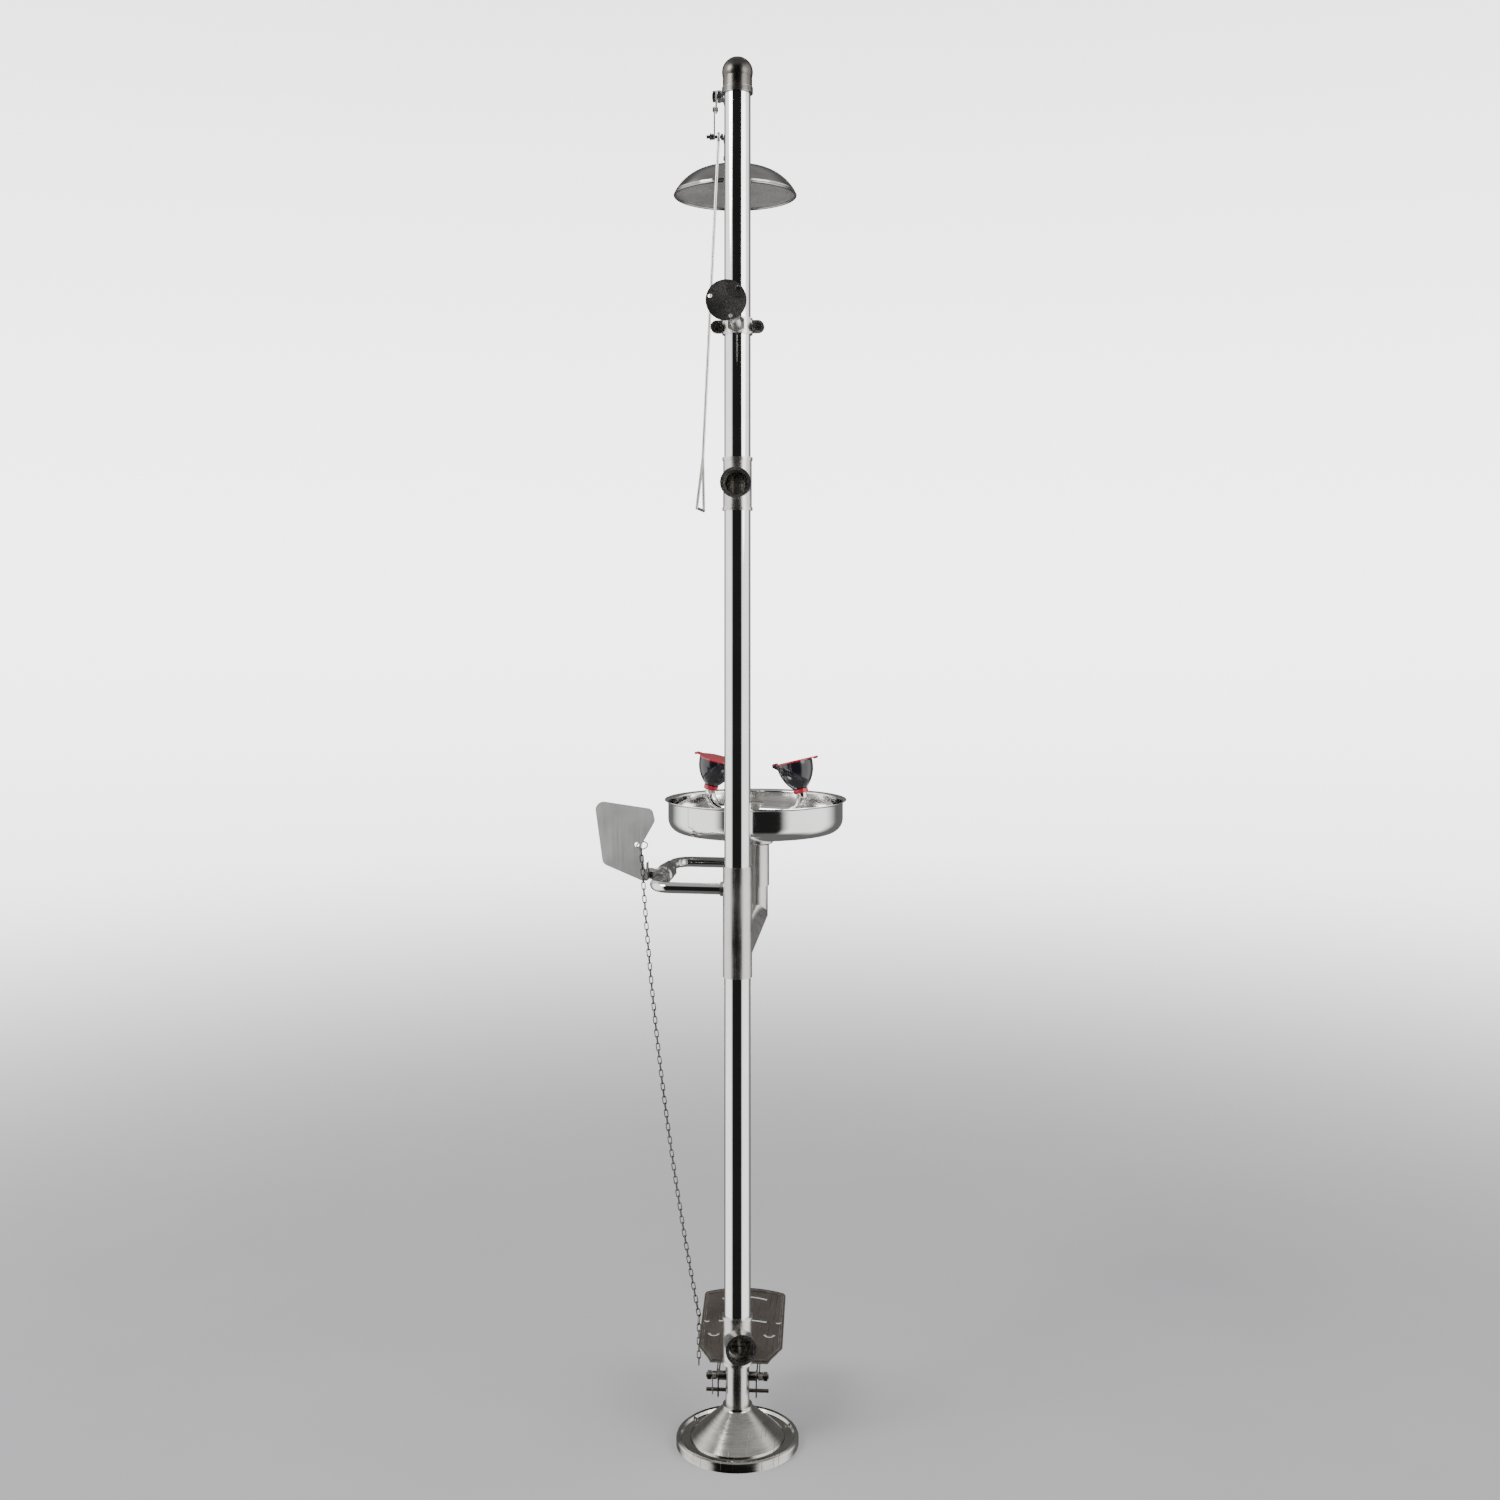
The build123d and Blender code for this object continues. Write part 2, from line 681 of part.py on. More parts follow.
def bowl_nut():
    start = (0, bowl_y, bowl_bottom - gasket_thickness - bowl_nut_height)
    nut = bar(bowl_nut_od / 2, bowl_nut_height, start)
    nut = chamfer(nut.edges().filter_by(GeomType.CIRCLE), 1.5)
    return nut - through(pipe_r + socket_gap, bowl_nut_height, start, UP)


def bowl_gasket():
    start = (0, bowl_y, bowl_bottom - gasket_thickness)
    return tube(bowl_nut_od / 2 - 1.0, pipe_r + socket_gap, gasket_thickness - face_gap, start)


def eyewash_bowl():
    outer_r = bowl_od / 2
    lip_r = bowl_lip_od / 2
    height = bowl_rim - bowl_bottom
    outer = FilletPolyline(
        (waste_hole_d / 2, 0),
        (outer_r, 0),
        (outer_r, height - 3.0),
        (lip_r, height - bowl_wall),
        radius=[bowl_corner_r, 3.0],
    )
    inner = FilletPolyline(
        (waste_hole_d / 2, bowl_wall),
        (outer_r - bowl_wall, bowl_wall),
        (outer_r - bowl_wall, height - 3.0 + bowl_wall),
        (lip_r - 0.3, height),
        radius=[bowl_corner_r - bowl_wall, 4.0],
    )
    section = make_face([outer, inner, Line(outer @ 0, inner @ 0), Line(outer @ 1, inner @ 1)])
    return Pos(0, bowl_y, bowl_bottom) * revolve(Plane.XZ * section, Axis.Z)


def bowl_strainer():
    base = bowl_floor + 2.1
    outer_r = waste_hole_d / 2 + 5.0
    plate = tube(outer_r, tube_r + 0.4, 1.5, (0, 0, base))
    for place in PolarLocations((outer_r + tube_r) / 2 - 1.5, 14):
        plate -= Pos(0, 0, base) * place * through(1.9, 1.5, (0, 0, 0), UP)
    return Pos(0, bowl_y, 0) * plate


def eyewash_riser():
    bottom = supply_far_z - tube_r - 2.0
    top = manifold_z - tube_bore_r - manifold_shoulder - face_gap
    riser = bar(tube_r, top - bottom, (0, bowl_y, bottom))
    riser -= bar(tube_bore_r, top - bottom, (0, bowl_y, bottom + 2.0))
    return riser - bar(tube_bore_r, pipe_od, (0, bowl_y, supply_far_z), LEFT)


def supply_pipes():
    half = eyewash_valve_length / 2 - valve_socket(eyewash_valve_length) + 0.5
    run = Vector(0, bowl_y, supply_far_z - supply_near_z).normalized()
    middle = Vector(supply_x, eyewash_valve_y, stem_z)
    near_corner = Vector(supply_x, 0, supply_near_z)
    far_corner = Vector(supply_x, bowl_y, supply_far_z)
    near_points = [(-sleeve_r + 2.5, 0, supply_near_z), near_corner, middle - run * half]
    far_points = [middle + run * half, far_corner, (-tube_r - 0.6, bowl_y, supply_far_z)]
    near = pipe_along(near_points, supply_bend_r, tube_r, tube_bore_r)
    far = pipe_along(far_points, supply_bend_r, tube_r, tube_bore_r)
    far -= bar(tube_r + 0.1, 2 * pipe_od, (0, bowl_y, supply_far_z - pipe_od))
    return group([near, far])


def eyewash_valve_place():
    run = Vector(0, bowl_y, supply_far_z - supply_near_z)
    pitch = math.degrees(math.atan2(run.Z, run.Y))
    return Pos(supply_x, eyewash_valve_y, stem_z) * Rot(pitch, 0, 0)


def union_nuts():
    nuts = []
    for side in (FORWARD, BACK):
        start = side * (eyewash_valve_length / 2 + 0.1)
        nut = hexagon(eyewash_valve_flats, union_length * 0.55, start, side)
        step = start + side * (union_length * 0.55)
        nut += cone(eyewash_valve_flats / 2 * 0.92, tube_r + 2.0, union_length * 0.45, step, side)
        nuts.append(nut - through(tube_r + socket_gap, union_length, start, side))
    return nuts


# ---------------------------------------------------------------- nozzles, about the bowl's axis
def nozzle_side(side):
    # Cup axis frame: origin at the cup's base, local +X towards the bowl's middle.
    tilt = nozzle_tilt * -side
    base = Pos(side * nozzle_spread / 2, 0, nozzle_base_z) * Rot(0, tilt, 0)
    return base if side < 0 else base * Rot(0, 0, 180)


def on_bowl(shape):
    return Pos(0, bowl_y, 0) * Rot(0, 0, nozzle_turn) * shape


def nozzle_manifold():
    arm_start = manifold_od / 2 - 4.0
    bottom = manifold_z - manifold_height / 2
    body = bar(manifold_od / 2, manifold_height, (0, 0, bottom))
    body = chamfer(body.edges().filter_by(GeomType.CIRCLE), 2.0)
    socket = manifold_height / 2 - tube_bore_r - manifold_shoulder
    body -= bar(tube_r + socket_gap, socket + BORE_EXTRA, (0, 0, bottom - BORE_EXTRA))
    body -= bar(tube_bore_r - 1.0, manifold_height / 2, (0, 0, bottom))
    for side in (LEFT, RIGHT):
        body -= bar(tube_bore_r, manifold_od, (0, 0, manifold_z), side)
        body -= bar(tube_r + socket_gap, manifold_od, (0, 0, manifold_z) + side * arm_start, side)
    return on_bowl(body)


def gooseneck(side):
    tilt = math.radians(nozzle_tilt)
    end = Vector(side * nozzle_spread / 2, 0, nozzle_base_z)
    axis = Vector(-side * math.sin(tilt), 0, math.cos(tilt))
    foot = end - axis * ((nozzle_base_z - manifold_z) / math.cos(tilt))
    start = Vector(side * (manifold_od / 2 - 3.8), 0, manifold_z)
    top = end + axis * (cup_floor + 3.0)
    return pipe_along([start, foot, top], gooseneck_bend_r, tube_r, tube_bore_r)


def cup_arcs(offset, low):
    base_r = cup_base_od / 2 - (0 if offset == 0 else 1.0)
    rim_r = cup_od / 2 - offset
    belly = (rim_r * 0.5 + base_r * 0.5 + 4.6 - offset * 0.3, low + (cup_height - low) * 0.42)
    return ThreePointArc((base_r, low), belly, (rim_r, cup_height))


def cup():
    outer = cup_arcs(0, 0)
    inner = cup_arcs(cup_wall, cup_floor)
    hole_r = tube_r + socket_gap
    floor = [
        Line((hole_r, 0), outer @ 0),
        Line((hole_r, 0), (hole_r, cup_floor)),
        Line((hole_r, cup_floor), inner @ 0),
        Line(outer @ 1, inner @ 1),
    ]
    shell = revolve(Plane.XZ * make_face([outer, inner] + floor), Axis.Z)
    pin_x = cup_od / 2 + hinge_offset
    pin_z = cup_height + cap_gap + cap_thickness * 0.75
    ear_r = hinge_pin_d / 2 + 1.9
    wall_x = cup_od / 2 - cup_wall + 0.6
    outline = Polyline(
        (wall_x, cup_height - 8.0),
        (pin_x + ear_r, cup_height - 1.0),
        (pin_x + ear_r, pin_z),
        (cup_od / 2 + 1.4, pin_z),
        (cup_od / 2 + 1.4, cup_height - 0.1),
        (wall_x, cup_height - 0.1),
        close=True,
    )
    for side in (-1, 1):
        ear = extrude(Plane.XZ * make_face(outline), 1.5, both=True)
        ear += Plane(origin=(pin_x, 1.5, pin_z), z_dir=BACK) * Cylinder(ear_r, 3.0, align=ROUND_BASE)
        ear -= through(hinge_pin_d / 2, 3.0, (pin_x, 1.5, pin_z), BACK)
        shell += Pos(0, side * 5.8, 0) * ear
    return shell


def hinge_pin():
    pin_x = cup_od / 2 + hinge_offset
    pin_z = cup_height + cap_gap + cap_thickness * 0.75
    return bar(hinge_pin_d / 2, 15.4, (pin_x, 7.7, pin_z), BACK)


def nozzle_screen():
    seat = cup_height * 0.72
    low_r = cup_od / 2 - cup_wall - 3.2
    screen = bar(low_r, 2.0, (0, 0, seat))
    for row in (1, 2):
        for place in PolarLocations(row * low_r * 0.36, 6 * row):
            screen -= Pos(0, 0, seat) * place * through(1.3, 2.0, (0, 0, 0), UP)
    stalk = tube(tube_r - tube_wall - 0.1, tube_r - tube_wall - 2.0, seat - cup_floor + 2.0, (0, 0, cup_floor - 2.0))
    return screen + stalk - bar(tube_r - tube_wall - 2.0, seat - cup_floor + 1.0, (0, 0, cup_floor - 2.0))


def cap():
    bottom = cup_height + cap_gap
    radius = cup_od / 2 + 0.8
    pin_x = cup_od / 2 + hinge_offset
    pin_z = bottom + cap_thickness * 0.75
    lid = bar(radius, cap_thickness, (0, 0, bottom))
    lid = fillet(lid.edges().filter_by(GeomType.CIRCLE).sort_by(Axis.Z)[-1], 1.2)
    reach = radius + cap_tab_reach
    tab = Pos(-reach / 2, 0, bottom + cap_thickness / 2) * Box(reach, cap_tab_width, cap_thickness)
    lid += fillet(tab.edges().filter_by(Axis.Z).sort_by(Axis.X)[:2], 3.0)
    lid += bar(cap_thickness / 2 + 1.0, cap_tab_width * 0.9, (-reach, cap_tab_width * 0.45, bottom + 0.6), BACK)
    arm_length = pin_x - radius + 4.0
    arm = Box(arm_length, 7.6, cap_thickness * 0.9)
    lid += Pos(pin_x - arm_length / 2, 0, bottom + cap_thickness * 0.55) * arm
    lid += bar(hinge_pin_d / 2 + 1.6, 7.6, (pin_x, 3.8, pin_z), BACK)
    return lid - through(hinge_pin_d / 2 + stem_gap, 7.6, (pin_x, 3.8, pin_z), BACK)


def nozzle_collar():
    return tube(collar_od / 2, tube_r + socket_gap, collar_height, (0, 0, -collar_height))


# ---------------------------------------------------------------- push paddle
def push_paddle():
    plate_y = -paddle_setback - paddle_thickness
    outline = FilletPolyline(
        (-117, 123),
        (-18, 110),
        (-13, 90),
        (-37, 48),
        (-paddle_tab_x(), -10),
        (-paddle_tab_x() - 8.0, -10),
        (-102, 17),
        radius=[14.0, 10.0, 10.0, 16.0, 1.0, 6.0, 12.0],
        close=True,
    )
    plate = Pos(0, plate_y, 0) * extrude(Plane.XZ * make_face(outline), -paddle_thickness)
    tab_x = -paddle_tab_x()
    tab_low = -10.0
    tab = Pos(tab_x - paddle_thickness / 2, plate_y, 0) * Box(
        paddle_thickness, paddle_setback + paddle_thickness, 30.0, align=(Align.CENTER, Align.MIN, Align.CENTER))
    tab = Pos(0, 0, 5.0) * tab
    tab += bar(-tab_low, paddle_thickness, (tab_x, 0, 0), LEFT)
    tab -= through(eyewash_stem_d / 2 + thread_gap, paddle_thickness, (tab_x, 0, 0), LEFT)
    hole_x, hole_z = paddle_hole
    plate -= through(paddle_hole_d / 2, paddle_thickness, (hole_x, plate_y, hole_z), FORWARD)
    return Pos(supply_x, eyewash_valve_y, stem_z) * (plate + tab)


# ---------------------------------------------------------------- chain
def chain_pivot():
    # Where the top ring's wire rests in the paddle's hole.
    hole_x, hole_z = paddle_hole
    y = eyewash_valve_y - paddle_setback - paddle_thickness / 2
    return Vector(supply_x + hole_x, y, stem_z + hole_z - 1.2)


def top_ring_frame():
    slope = math.radians(top_ring_slope)
    centre = chain_pivot() + RIGHT * top_ring_r
    hang = Vector(0, -math.sin(slope), -math.cos(slope))
    return centre, hang


def hook_centre():
    rise = math.radians(treadle_rise)
    y = treadle_start_y + hook_place * math.cos(rise)
    z = pivot_z + treadle_start_z + hook_place * math.sin(rise)
    x = -treadle_width / 2 - hook_gap - chain_wire_d / 2
    turn = math.radians(treadle_turn)
    return Vector(x * math.cos(turn) - y * math.sin(turn), x * math.sin(turn) + y * math.cos(turn), z)


def chain_link():
    bend_r = (link_inner_width + chain_wire_d) / 2
    half = (link_inner + chain_wire_d) / 2 - bend_r
    loop = Wire([
        Line((bend_r, -half), (bend_r, half)),
        ThreePointArc((bend_r, half), (0, half + bend_r), (-bend_r, half)),
        Line((-bend_r, half), (-bend_r, -half)),
        ThreePointArc((-bend_r, -half), (0, -half - bend_r), (bend_r, -half)),
    ])
    section = Plane(origin=(bend_r, -half, 0), z_dir=FORWARD) * Circle(chain_wire_d / 2)
    return sweep(section, path=loop)


def link_at(link, centre, along, roll):
    frame = Plane(origin=centre, x_dir=(0, 1, 0.02), z_dir=along)
    return frame * Rot(0, 0, roll) * Rot(90, 0, 0) * link


def link_hang(ring_wire_d):
    # From the middle of a ring's wire to the centre of the link that hangs on it.
    return (link_inner - ring_wire_d - chain_link_gap) / 2


def chain():
    ring_centre, hang = top_ring_frame()
    hook = hook_centre()
    link = chain_link()
    pitch = link_inner - chain_link_gap
    pieces = [
        ring(top_ring_r, top_ring_wire_d / 2, ring_centre, hang.cross(RIGHT)),
        ring(hook_ring_r, chain_wire_d / 2, hook, RIGHT),
    ]
    top = ring_centre + hang * top_ring_r
    bottom = hook + UP * hook_ring_r
    straight = bottom - top
    bulge = Vector(-1, 0, straight.X / straight.Z).normalized() * (4 * chain_sag)
    first = top + (straight + bulge).normalized() * link_hang(top_ring_wire_d)
    last = bottom - (straight - bulge).normalized() * link_hang(chain_wire_d)
    run = last - first
    steps = round(run.length / pitch)
    # The last link has to cross the lower ring's wire, so the run may twist a quarter turn.
    twist = 90 * ((steps + 1) % 2)
    for number in range(steps + 1):
        share = number / steps
        centre = first + run * share + bulge * (share * (1 - share))
        along = (run + bulge * (1 - 2 * share)).normalized()
        pieces.append(link_at(link, centre, along, 90 * (number % 2) + twist * share))
    for number in range(chain_tail_links):
        drop = hook_ring_r + link_hang(chain_wire_d) + number * pitch
        pieces.append(link_at(link, hook - UP * drop, DOWN, 90 * ((number + 1) % 2)))
    return group(pieces)


# ---------------------------------------------------------------- treadle, about its pivot, pointing along +Y
def treadle_outline():
    half = treadle_width / 2
    neck = treadle_neck / 2
    side_top = treadle_length - treadle_bow
    left = [(-neck, 0), (-neck - 4.0, 8.0), (-half, treadle_shoulder), (-half, side_top)]
    right = [(-x, y) for x, y in left]
    edges = [Polyline(*left), Polyline(*right), Line((-neck, 0), (neck, 0))]
    edges.append(ThreePointArc((-half, side_top), (0, treadle_length), (half, side_top)))
    face = make_face(edges)
    corners = face.vertices().filter_by_position(Axis.Y, treadle_shoulder - 1, treadle_length)
    return fillet(corners, 9.0)


def treadle_slots():
    bow = ThreePointArc((-36, treadle_length - 26.0), (0, treadle_length - 20.0), (36, treadle_length - 26.0))
    slots = [SlotArc(bow, 4.5)]
    slots.append(SlotArc(ThreePointArc((-38, 90), (0, 94), (38, 90)), 4.5))
    for side in (-1, 1):
        slots.append(Pos(side * 60.0, hook_place - 4.0) * SlotOverall(9.0, 4.5))
        smile = ThreePointArc((side * 38.0, 61), (side * 46.0, 57), (side * 54.0, 61))
        slots.append(SlotArc(smile, 3.6))
    return slots


def treadle():
    outline = treadle_outline()
    plate = extrude(outline, treadle_thickness)
    band = offset(outline, -4.0) - offset(outline, -7.0)
    plate += Pos(0, 0, treadle_thickness) * extrude(band, treadle_bead)
    groove = offset(outline, -4.6) - offset(outline, -6.4)
    plate -= extrude(groove, treadle_bead * 0.8)
    for slot in treadle_slots():
        plate -= Pos(0, 0, -BORE_EXTRA) * extrude(slot, treadle_thickness + 2 * BORE_EXTRA)
    plate = Pos(0, treadle_start_y, treadle_start_z) * Rot(treadle_rise, 0, 0) * plate
    rise = math.tan(math.radians(treadle_rise))
    leg_end = treadle_start_y + 30.0
    underside = treadle_start_z + 30.0 * rise
    tail_back = -stop_stud_d / 2 - 6.4
    tail_front = -stop_stud_d / 2 - 0.4
    leg_outline = Polyline(
        (-8.0, 3.0),
        (treadle_start_y, treadle_start_z + 1.0),
        (leg_end, underside + 1.0),
        (leg_end, underside - 4.0),
        (9.0, -4.0),
        (tail_front, -9.0),
        (tail_front, stop_z - pivot_z - 8.0),
        (tail_back, stop_z - pivot_z - 8.0),
        close=True,
    )
    leg_shape = extrude(Plane.YZ * make_face(leg_outline), leg_thickness)
    leg_shape += bar(9.0, leg_thickness, (0, 0, 0), RIGHT)
    leg_shape -= through(pivot_stud_d / 2 + stem_gap, leg_thickness, (0, 0, 0), RIGHT)
    for start in (leg_x, -leg_x - leg_thickness):
        plate += Pos(start, 0, 0) * leg_shape
    return plate


def treadle_spring(side):
    coil_r = pivot_stud_d / 2 + pivot_gap + spring_wire_d / 2 + 0.2
    wire_r = spring_wire_d / 2
    pitch = spring_wire_d * 0.94
    first = side * (spring_x + wire_r)
    last = first + side * pitch * (spring_turns - 1)
    coil = ring(coil_r, wire_r, (first, 0, 0), RIGHT)
    for turn in range(1, spring_turns):
        coil += ring(coil_r, wire_r, (first + side * turn * pitch, 0, 0), RIGHT)
    rise = math.tan(math.radians(treadle_rise))
    touch_y = treadle_start_y + spring_leg_reach
    touch_z = treadle_start_z + spring_leg_reach * rise - wire_r - spring_leg_gap
    coil += bent_wire([(first, 0, -coil_r), (first, touch_y, touch_z)], wire_r)
    rest_y = -stop_stud_d / 2 - wire_r - 0.4
    return coil + bent_wire([(last, -coil_r, 0), (last, rest_y, stop_z - pivot_z - 5.0)], wire_r)


def treadle_studs():
    studs = []
    for side in (LEFT, RIGHT):
        root = spool_od / 2 + face_gap
        pivot = bar(pivot_stud_d / 2, stud_reach - root, side * root, side)
        pivot += bar(pivot_stud_d / 2 + 3.0, leg_x - root - 0.4, side * root, side)
        stop = bar(stop_stud_d / 2, stud_reach - root, side * root + DOWN * (pivot_z - stop_z), side)
        studs += [saddle(pivot), saddle(stop)]
        start = side * (spring_x + spring_wire_d * spring_turns + 0.6)
        nut = hexagon(1.65 * pivot_stud_d, 6.5, start, side)
        studs.append(nut - through(pivot_stud_d / 2 + thread_gap, 6.5, start, side))
    return studs


def saddle(stud):
    # The stud's root follows the round of the spool it is welded to.
    return stud - bar(spool_od / 2 + face_gap, 60.0, (0, 0, -30.0 - (pivot_z - stop_z) / 2))


# ---------------------------------------------------------------- wall brace, pointing back along -Y
def clamp_half(side):
    inner_r = pipe_r + face_gap
    outer_r = inner_r + clamp_wall
    low = -clamp_height / 2
    band = tube(outer_r, inner_r, clamp_height, (0, 0, low))
    keep = Pos(0, side * (clamp_split / 2 + outer_r), 0) * Box(4 * outer_r, 2 * outer_r, 2 * clamp_height)
    for ear_side in (-1, 1):
        ear_y = side * (clamp_split / 2 + clamp_ear_thickness / 2)
        ear_length = clamp_ear_reach - inner_r - 10.0
        ear = Pos(ear_side * (inner_r + 1.5 + ear_length / 2), ear_y, 0) * Box(
            ear_length, clamp_ear_thickness, 2 * 10.0)
        tip = Vector(ear_side * (clamp_ear_reach - 10.0), ear_y - side * clamp_ear_thickness / 2, 0)
        ear += bar(10.0, clamp_ear_thickness, tip, FORWARD * side)
        band += ear
    band = band & keep
    band -= through(inner_r, clamp_height, (0, 0, low), UP)
    for ear_side in (-1, 1):
        start = Vector(ear_side * (clamp_ear_reach - 10.0), side * clamp_split / 2, 0)
        band -= through(clamp_bolt_d / 2 + 0.2, clamp_ear_thickness, start, FORWARD * side)
    return band


def brace_socket_end():
    return pipe_r + clamp_wall + 12.0


def clamp_halves():
    back = clamp_half(-1)
    inner = pipe_r + clamp_wall - 1.2
    socket = hexagon(lock_nut_flats + 2.0, brace_socket_end() - inner, (0, -inner, 0), BACK)
    back += socket - bar(pipe_r + 0.5, clamp_height * 2, (0, 0, -clamp_height))
    back -= bar(brace_rod_d / 2 + face_gap, brace_socket_end(), (0, -pipe_r - clamp_wall - 1.0, 0), BACK)
    return [clamp_half(1), back]


def clamp_fasteners():
    stack = clamp_split / 2 + clamp_ear_thickness
    pieces = []
    for side in (-1, 1):
        x = side * (clamp_ear_reach - 10.0)
        bolt = bar(clamp_bolt_d / 2, 2 * stack + 12.0, (x, stack + 0.1, 0), BACK)
        bolt += hexagon(1.6 * clamp_bolt_d, 5.3, (x, stack + 0.1, 0), FORWARD)
        nut = hexagon(1.6 * clamp_bolt_d, 6.5, (x, -stack - 0.1, 0), BACK)
        pieces += [bolt, nut - through(clamp_bolt_d / 2 + thread_gap, 6.5, (x, -stack - 0.1, 0), BACK)]
    return pieces


def brace_rod():
    start = pipe_r + clamp_wall + 1.2
    length = brace_socket_end() - start + brace_rod_shown + rod_in_tube
    crest = brace_rod_d / 2
    root = crest - thread_depth
    turns = int(length / thread_pitch) - 1
    points = [(0, 0), (root, 0)]
    for turn in range(turns):
        height = thread_pitch * (turn + 0.5)
        points += [(crest, height), (crest, height + 0.4), (root, height + thread_pitch * 0.6)]
    points += [(root, length), (0, length)]
    return Plane(origin=(0, -start, 0), z_dir=BACK) * spun(points)


def brace_outer():
    nut_start = brace_socket_end() + brace_rod_shown
    bore_r = brace_rod_d / 2 + face_gap
    nut = hexagon(lock_nut_flats, lock_nut_length, (0, -nut_start, 0), BACK)
    nut -= through(bore_r, lock_nut_length, (0, -nut_start, 0), BACK)
    tube_start = nut_start + lock_nut_length + 0.1
    tube_bore = rod_in_tube - lock_nut_length + 40.0
    sleeve = bar(brace_tube_od / 2, brace_tube_length, (0, -tube_start, 0), BACK)
    sleeve -= bar(bore_r, tube_bore, (0, -tube_start + BORE_EXTRA, 0), BACK)
    groove = tube(brace_tube_od, brace_tube_od / 2 - 1.0, 2.0, (0, -tube_start - 6.0, 0), BACK)
    sleeve -= groove
    neck_start = tube_start + brace_tube_length + 0.1
    flange = cone(brace_tube_od / 2 + 1.5, brace_tube_od / 2 + 4.0, wall_neck_length, (0, -neck_start, 0), BACK)
    face_start = (0, -neck_start - wall_neck_length, 0)
    disc = bar(wall_flange_d / 2, wall_flange_thickness, face_start, BACK)
    disc = fillet(disc.edges().filter_by(GeomType.CIRCLE).sort_by(Axis.Y)[-1], 1.5)
    flange += disc
    for number in range(wall_hole_count):
        place = Rot(0, -wall_hole_start - number * 360 / wall_hole_count, 0) * Pos(wall_hole_pcd / 2, 0, 0)
        hole = through(wall_hole_d / 2, wall_flange_thickness, face_start, BACK)
        flange -= place * hole
    return nut, sleeve, flange


# ---------------------------------------------------------------- write every piece
def write_base_and_column():
    spool_top = drain_tee_bottom + socket_depth
    save("base_flange", base_flange())
    save("base_spool", tube(spool_od / 2, spool_od / 2 - spool_wall, spool_top - spool_bottom, (0, 0, spool_bottom)))
    save("blanking_discs", blanking_discs())
    spool_r = spool_od / 2
    save("drain_tee", tee(drain_tee_bottom, drain_tee_length, spool_r, spool_r - spool_wall, drain_tee_turn))
    save("inlet_tee", tee(inlet_tee_bottom, inlet_tee_length, pipe_r, pipe_bore_r, inlet_tee_turn))
    save("lower_column", column_pipe(drain_tee_top - socket_depth, sleeve_bottom + sleeve_socket_depth))
    save("middle_column", column_pipe(sleeve_top - sleeve_socket_depth, inlet_tee_bottom + socket_depth))
    save("upper_column", column_pipe(inlet_tee_top - socket_depth, elbow_bottom + elbow_socket_depth))
    save("port_sleeve", port_sleeve())


def write_shower():
    arm = Rot(0, 0, arm_turn)
    valve = shower_valve()
    on_arm = arm * Pos(0, shower_valve_y, arm_z)
    save("top_elbow", arm * top_elbow())
    save("arm_nipples", group(arm * nipple for nipple in arm_nipples()))
    save("shower_arm", arm * shower_arm())
    save("arm_elbow", arm * arm_elbow())
    save("shower_dome", arm * shower_dome())
    save("shower_face", arm * shower_face())
    save("shower_valve_body", on_arm * valve.body())
    save("shower_ball", on_arm * valve.ball())
    save("shower_stem", on_arm * valve.stem())
    save("shower_lever", arm * shower_lever())
    nut_x = -shower_lever_x() - lever_thickness - face_gap
    save("shower_lever_nut", on_arm * lever_nut(shower_stem_d, (nut_x, 0, 0)))
    save("pull_link", arm * pull_link())
    save("pull_fasteners", arm * pull_fasteners())
    save("pull_rod", arm * pull_rod())
    return [on_arm * seat for seat in valve.seats()], on_arm * valve.packing_nut()


def write_eyewash():
    riser, pipe = drain_pipes()
    valve = eyewash_valve()
    place = eyewash_valve_place()
    save("riser_pipe", riser)
    save("drain_pipe", pipe)
    save("pedestal_sleeve", pedestal_sleeve())
    save("bowl_tailpiece", bowl_tailpiece())
    save("bowl_nut", bowl_nut())
    save("bowl_gasket", bowl_gasket())
    save("eyewash_bowl", eyewash_bowl())
    save("bowl_strainer", bowl_strainer())
    save("eyewash_riser", eyewash_riser())
    save("nozzle_manifold", nozzle_manifold())
    save("supply_pipes", supply_pipes())
    save("union_nuts", group(place * nut for nut in union_nuts()))
    save("eyewash_valve_body", place * valve.body())
    upright = Pos(supply_x, eyewash_valve_y, stem_z)
    save("eyewash_ball", place * valve.ball())
    save("eyewash_stem", place * valve.stem())
    save("push_paddle", push_paddle())
    nut_x = -paddle_tab_x() - paddle_thickness - face_gap
    save("paddle_nut", upright * lever_nut(eyewash_stem_d, (nut_x, 0, 0)))
    return [place * seat for seat in valve.seats()], place * valve.packing_nut()


def write_nozzles():
    sides = (-1, 1)
    save("goosenecks", group(on_bowl(gooseneck(side)) for side in sides))
    save("nozzle_collars", group(on_bowl(nozzle_side(side) * nozzle_collar()) for side in sides))
    save("nozzle_cups", group(on_bowl(nozzle_side(side) * cup()) for side in sides))
    save("nozzle_screens", group(on_bowl(nozzle_side(side) * nozzle_screen()) for side in sides))
    save("cap_hinge_pins", group(on_bowl(nozzle_side(side) * hinge_pin()) for side in sides))
    save("cap_left", on_bowl(nozzle_side(-1) * cap()))
    save("cap_right", on_bowl(nozzle_side(1) * cap()))


def write_treadle():
    place = Rot(0, 0, treadle_turn) * Pos(0, 0, pivot_z)
    save("treadle", place * treadle())
    save("treadle_springs", group(place * treadle_spring(side) for side in (-1, 1)))
    save("treadle_studs", group(place * stud for stud in treadle_studs()))
    save("chain", chain())


